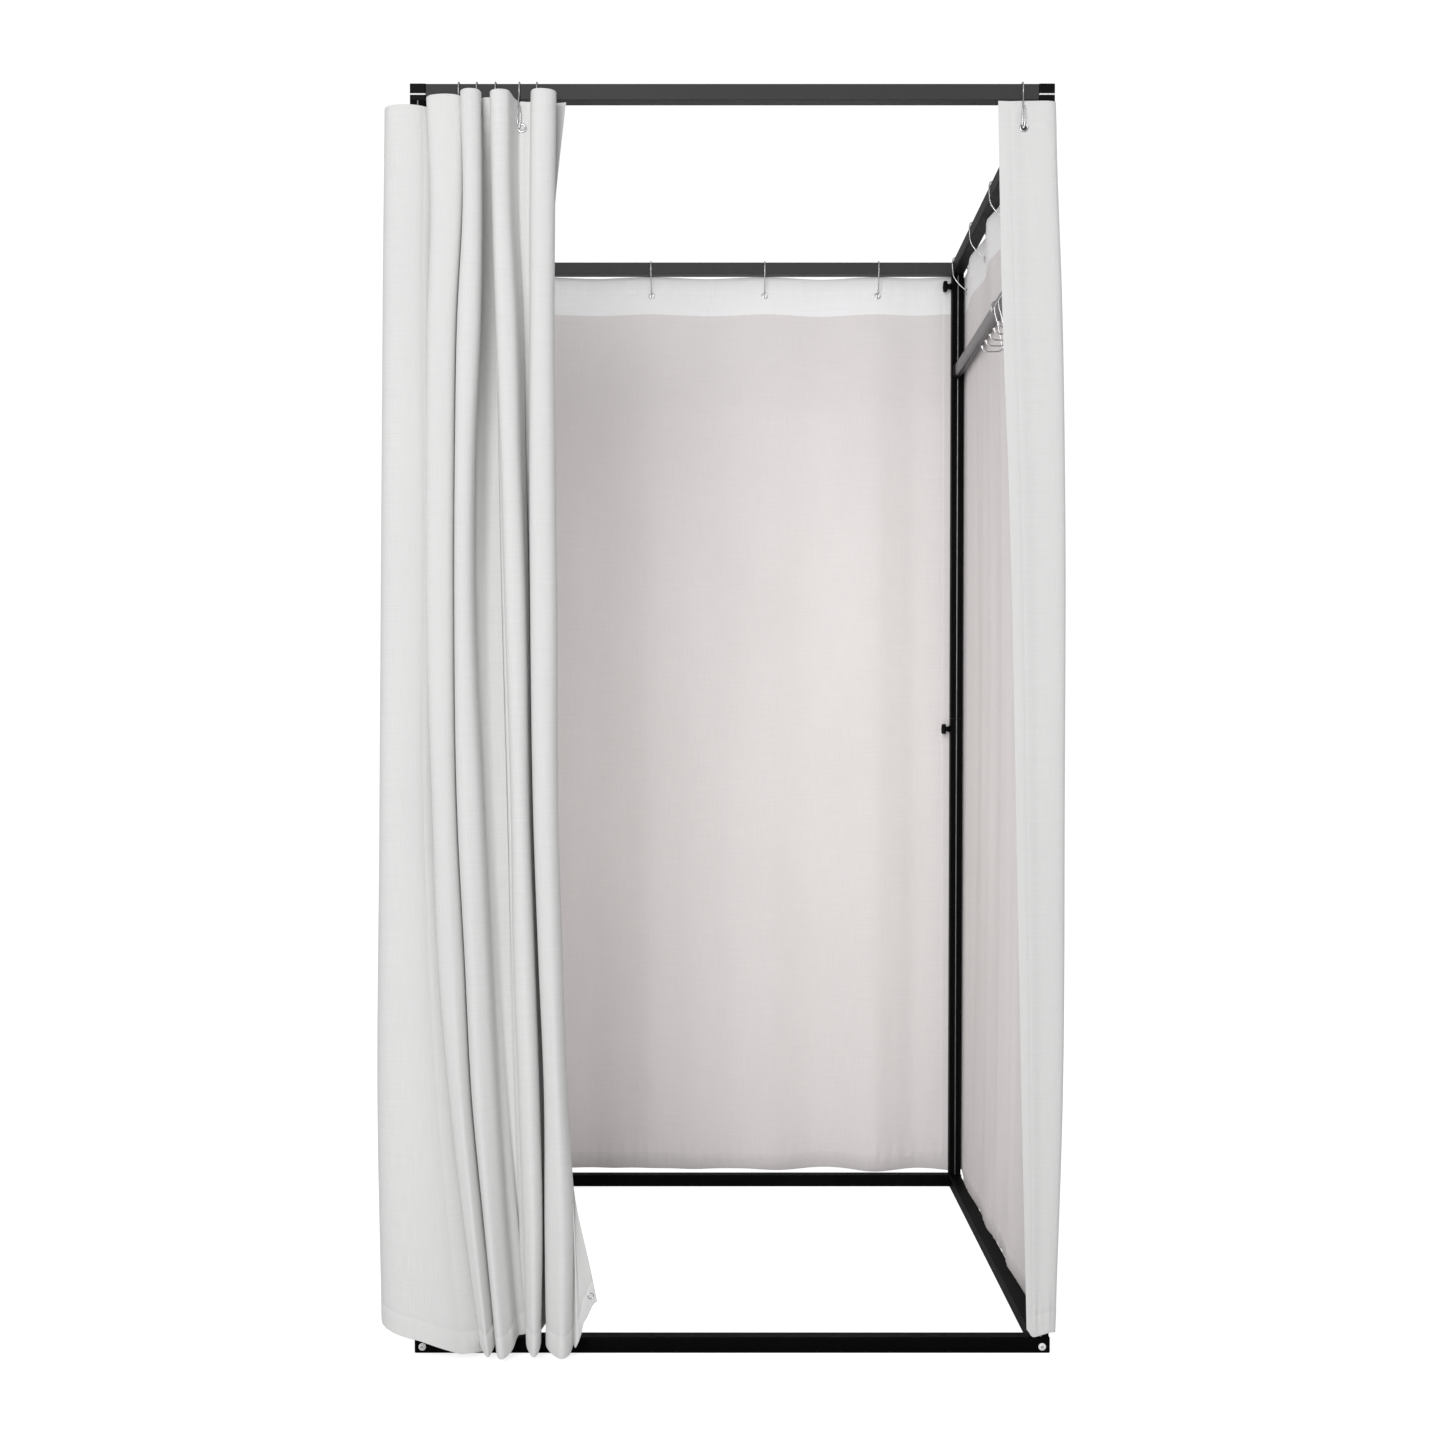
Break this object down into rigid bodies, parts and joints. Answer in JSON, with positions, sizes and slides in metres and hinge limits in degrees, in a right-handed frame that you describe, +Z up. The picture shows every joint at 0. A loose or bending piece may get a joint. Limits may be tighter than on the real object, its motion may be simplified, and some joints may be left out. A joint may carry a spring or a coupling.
{
  "type": "curtained changing booth",
  "caption": "Free-standing square booth of black steel tube with pale cloth curtains on wire hooks, a drawn-back door curtain and a clothes rod inside.",
  "frame": {"origin": "on the floor, in the middle of the booth", "axes": "+Z up, the doorway faces -Y, +X to the right of someone facing the doorway"},
  "size_m": [1.0811, 1.0844, 1.9888],
  "materials": {
    "powder_black": "satin black powder coat",
    "rail_grey": "satin charcoal coat",
    "black_plastic": "fine-grained moulded",
    "rod_steel": "drawn grey steel",
    "bright_wire": "bright plated wire",
    "bolt_steel": "zinc plated",
    "curtain_cloth": "plain woven polyester"
  },
  "bodies": {
    "root": {"bottom_bolt_front_left": "bolt_steel", "bottom_bolt_front_right": "bolt_steel", "bottom_bolt_rear_left": "bolt_steel", "bottom_bolt_rear_right": "bolt_steel", "bottom_rail_front": "powder_black", "bottom_rail_left": "powder_black", "bottom_rail_rear": "powder_black", "bottom_rail_right": "powder_black", "clothes_rod": "rod_steel", "corner_fitting_front_left": "black_plastic", "corner_fitting_front_right": "black_plastic", "corner_fitting_rear_left": "black_plastic", "corner_fitting_rear_right": "black_plastic", "left_curtain": "curtain_cloth", "post_coupler_front_left": "rod_steel", "post_coupler_front_right": "rod_steel", "post_coupler_rear_left": "rod_steel", "post_coupler_rear_right": "rod_steel", "post_lower_front_left": "powder_black", "post_lower_front_right": "powder_black", "post_lower_rear_left": "powder_black", "post_lower_rear_right": "powder_black", "post_upper_front_left": "powder_black", "post_upper_front_right": "powder_black", "post_upper_rear_left": "powder_black", "post_upper_rear_right": "powder_black", "rear_curtain": "curtain_cloth", "rear_hook_1": "bright_wire", "rear_hook_2": "bright_wire", "rear_hook_3": "bright_wire", "return_hook": "bright_wire", "right_curtain": "curtain_cloth", "right_hook_1": "bright_wire", "right_hook_2": "bright_wire", "right_hook_3": "bright_wire", "rod_socket_front": "black_plastic", "rod_socket_rear": "black_plastic", "top_rail_front": "rail_grey", "top_rail_left": "rail_grey", "top_rail_rear": "rail_grey", "top_rail_right": "rail_grey"},
    "mid_knob_front_left": {"mid_knob_front_left": "black_plastic"},
    "mid_knob_front_right": {"mid_knob_front_right": "black_plastic"},
    "mid_knob_rear_left": {"mid_knob_rear_left": "black_plastic"},
    "mid_knob_rear_right": {"mid_knob_rear_right": "black_plastic"},
    "top_knob_front_left": {"top_knob_front_left": "black_plastic"},
    "top_knob_front_right": {"top_knob_front_right": "black_plastic"},
    "top_knob_rear_left": {"top_knob_rear_left": "black_plastic"},
    "top_knob_rear_right": {"top_knob_rear_right": "black_plastic"},
    "hook_rack": {"hook_rack": "bright_wire"},
    "door_run_1": {"door_hook_1": "bright_wire", "door_fold_1": "curtain_cloth"},
    "door_run_2": {"door_hook_2": "bright_wire", "door_fold_2": "curtain_cloth"},
    "door_run_3": {"door_hook_3": "bright_wire", "door_fold_3": "curtain_cloth"},
    "door_run_4": {"door_hook_4": "bright_wire", "door_fold_4": "curtain_cloth"},
    "door_lead": {"door_hook_5": "bright_wire", "door_fold_5": "curtain_cloth"}
  },
  "joints": [
    {"name": "mid_knob_front_left_turn", "type": "hinge", "parent": "root", "child": "mid_knob_front_left", "pos_m": [-0.475, -0.4875, 0.99], "axis": [1, 0, 0], "range_deg": [0, 720]},
    {"name": "mid_knob_front_right_turn", "type": "hinge", "parent": "root", "child": "mid_knob_front_right", "pos_m": [0.475, -0.4875, 0.99], "axis": [-1, 0, 0], "range_deg": [0, 720]},
    {"name": "mid_knob_rear_left_turn", "type": "hinge", "parent": "root", "child": "mid_knob_rear_left", "pos_m": [-0.475, 0.4875, 0.99], "axis": [1, 0, 0], "range_deg": [0, 720]},
    {"name": "mid_knob_rear_right_turn", "type": "hinge", "parent": "root", "child": "mid_knob_rear_right", "pos_m": [0.475, 0.4875, 0.99], "axis": [-1, 0, 0], "range_deg": [0, 720]},
    {"name": "top_knob_front_left_turn", "type": "hinge", "parent": "root", "child": "top_knob_front_left", "pos_m": [-0.475, -0.4875, 1.937], "axis": [1, 0, 0], "range_deg": [0, 720]},
    {"name": "top_knob_front_right_turn", "type": "hinge", "parent": "root", "child": "top_knob_front_right", "pos_m": [0.475, -0.4875, 1.937], "axis": [-1, 0, 0], "range_deg": [0, 720]},
    {"name": "top_knob_rear_left_turn", "type": "hinge", "parent": "root", "child": "top_knob_rear_left", "pos_m": [-0.475, 0.4875, 1.937], "axis": [1, 0, 0], "range_deg": [0, 720]},
    {"name": "top_knob_rear_right_turn", "type": "hinge", "parent": "root", "child": "top_knob_rear_right", "pos_m": [0.475, 0.4875, 1.937], "axis": [-1, 0, 0], "range_deg": [0, 720]},
    {"name": "rack_slide", "type": "slide", "parent": "root", "child": "hook_rack", "axis": [0, 1, 0], "range_m": [-0.17, 0.485]},
    {"name": "door_draw", "type": "slide", "parent": "root", "child": "door_lead", "axis": [1, 0, 0], "range_m": [0, 0.67]},
    {"name": "door_run_1_slide", "type": "slide", "parent": "root", "child": "door_run_1", "axis": [1, 0, 0], "range_m": [0, 0.126]},
    {"name": "door_run_2_slide", "type": "slide", "parent": "root", "child": "door_run_2", "axis": [1, 0, 0], "range_m": [0, 0.28]},
    {"name": "door_run_3_slide", "type": "slide", "parent": "root", "child": "door_run_3", "axis": [1, 0, 0], "range_m": [0, 0.452]},
    {"name": "door_run_4_slide", "type": "slide", "parent": "root", "child": "door_run_4", "axis": [1, 0, 0], "range_m": [0, 0.625]}
  ],
  "couplings": [
    {"joint": "door_run_1_slide", "follows": "door_draw", "ratio": 0.1858},
    {"joint": "door_run_2_slide", "follows": "door_draw", "ratio": 0.415},
    {"joint": "door_run_3_slide", "follows": "door_draw", "ratio": 0.672},
    {"joint": "door_run_4_slide", "follows": "door_draw", "ratio": 0.93}
  ]
}
